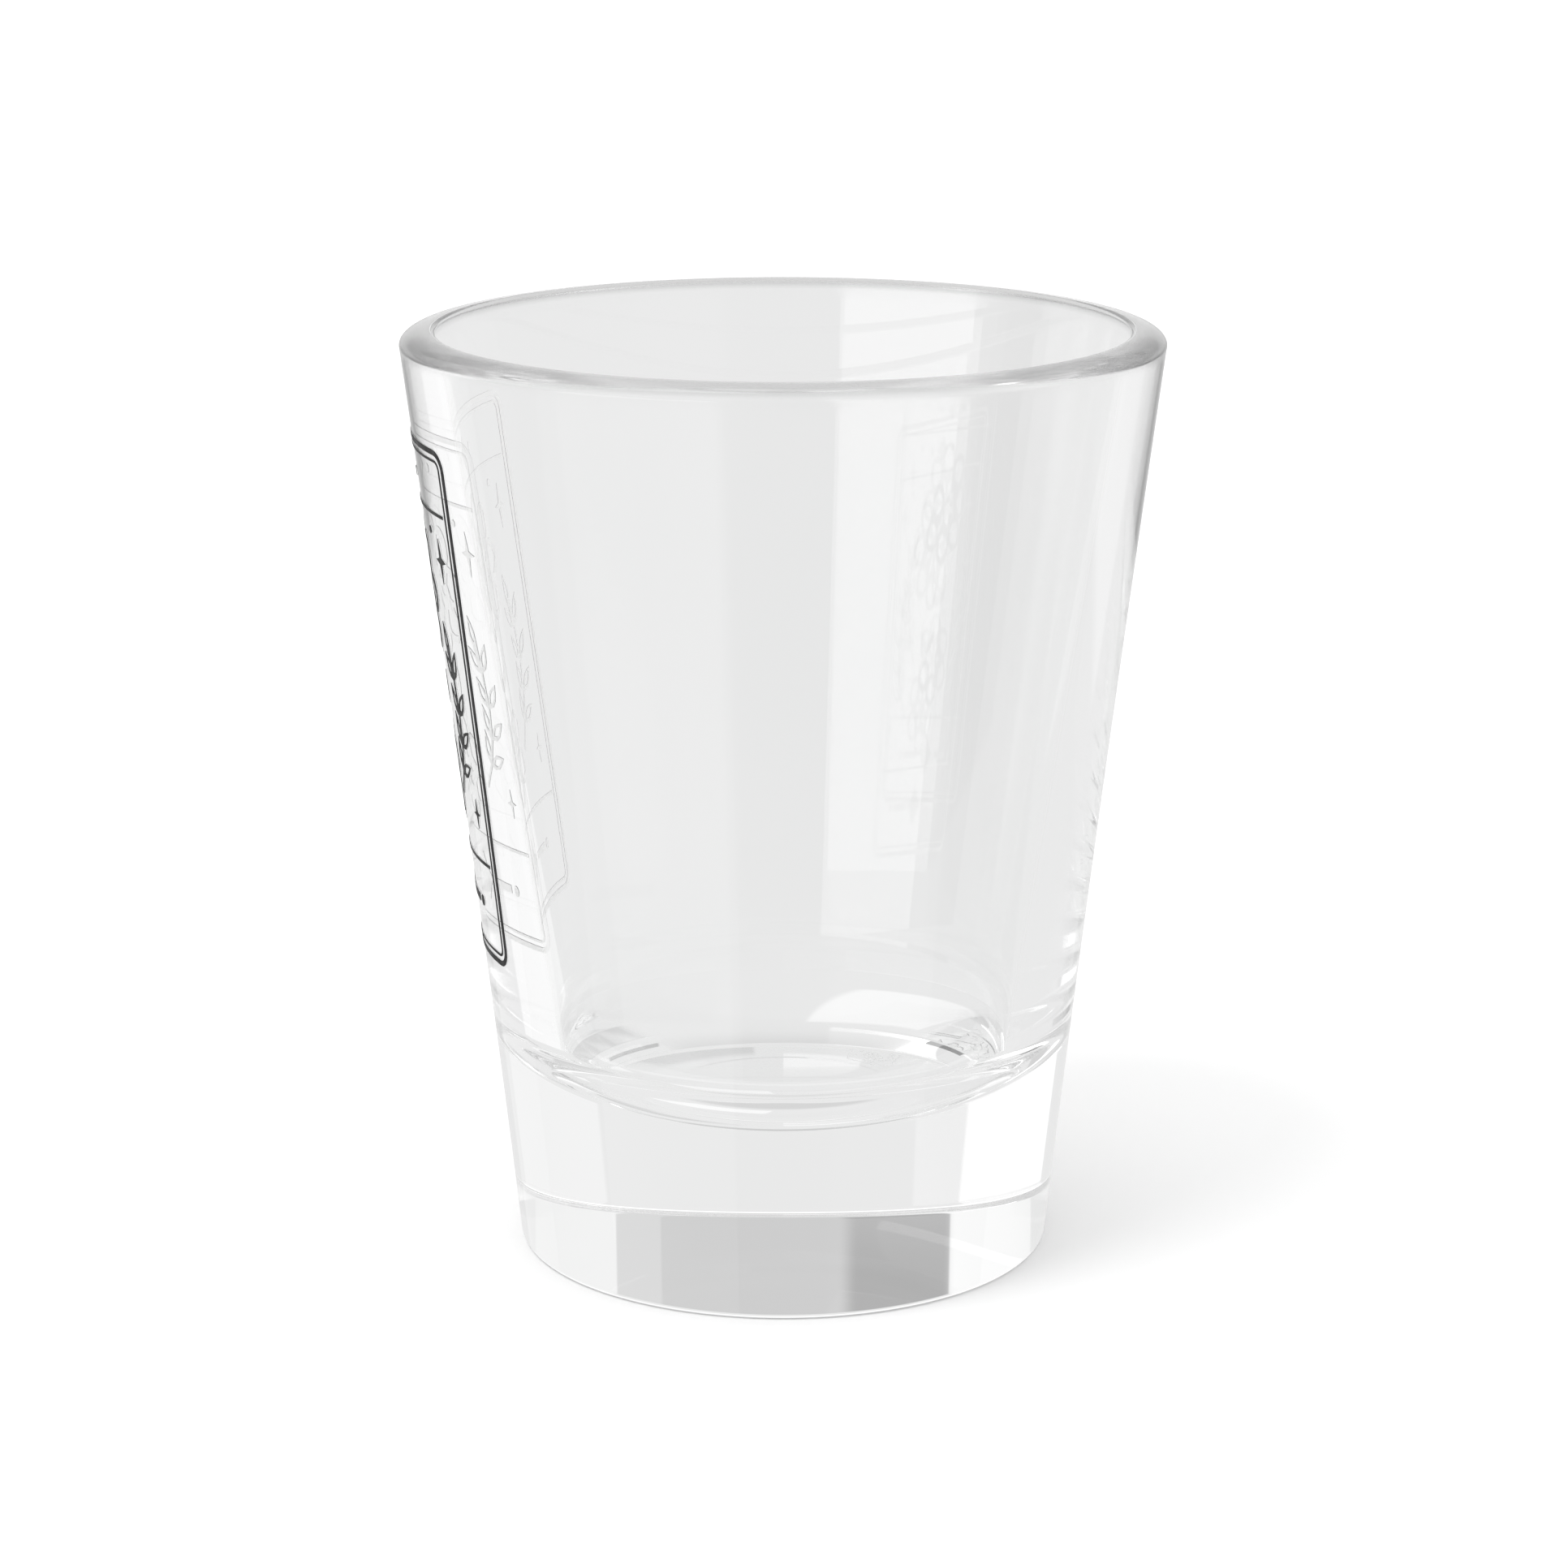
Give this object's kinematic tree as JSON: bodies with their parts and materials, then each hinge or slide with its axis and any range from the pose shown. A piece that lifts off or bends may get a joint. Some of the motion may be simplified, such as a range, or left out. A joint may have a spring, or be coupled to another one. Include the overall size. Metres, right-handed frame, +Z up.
{
  "type": "shot glass",
  "caption": "Small tapered drinking glass with a thick solid base, a rounded rim and a line-art card printed on one side.",
  "frame": {"origin": "centre of the flat face that the glass stands on", "axes": "+Z up along the axis of the glass; the printed card faces -X"},
  "size_m": [0.0482, 0.0482, 0.06],
  "materials": {
    "clear_glass": "clear, fire-polished soda-lime glass",
    "print_ink": "black cured ink, satin, on a white underlayer"
  },
  "bodies": {
    "root": {"glass_body": "clear_glass", "outer_frame": "print_ink", "inner_frame": "print_ink", "head_rule": "print_ink", "foot_rule": "print_ink", "upper_bloom": "print_ink", "lower_bloom": "print_ink", "crescent_moon": "print_ink", "left_sprig": "print_ink", "right_sprig": "print_ink", "left_star": "print_ink", "right_star": "print_ink", "left_sparkle": "print_ink", "right_sparkle": "print_ink", "left_dot": "print_ink", "right_dot": "print_ink", "head_diamond": "print_ink", "left_head_dot": "print_ink", "right_head_dot": "print_ink", "foot_diamond": "print_ink", "left_foot_bar": "print_ink", "right_foot_bar": "print_ink", "left_foot_dot": "print_ink", "right_foot_dot": "print_ink"}
  },
  "joints": []
}
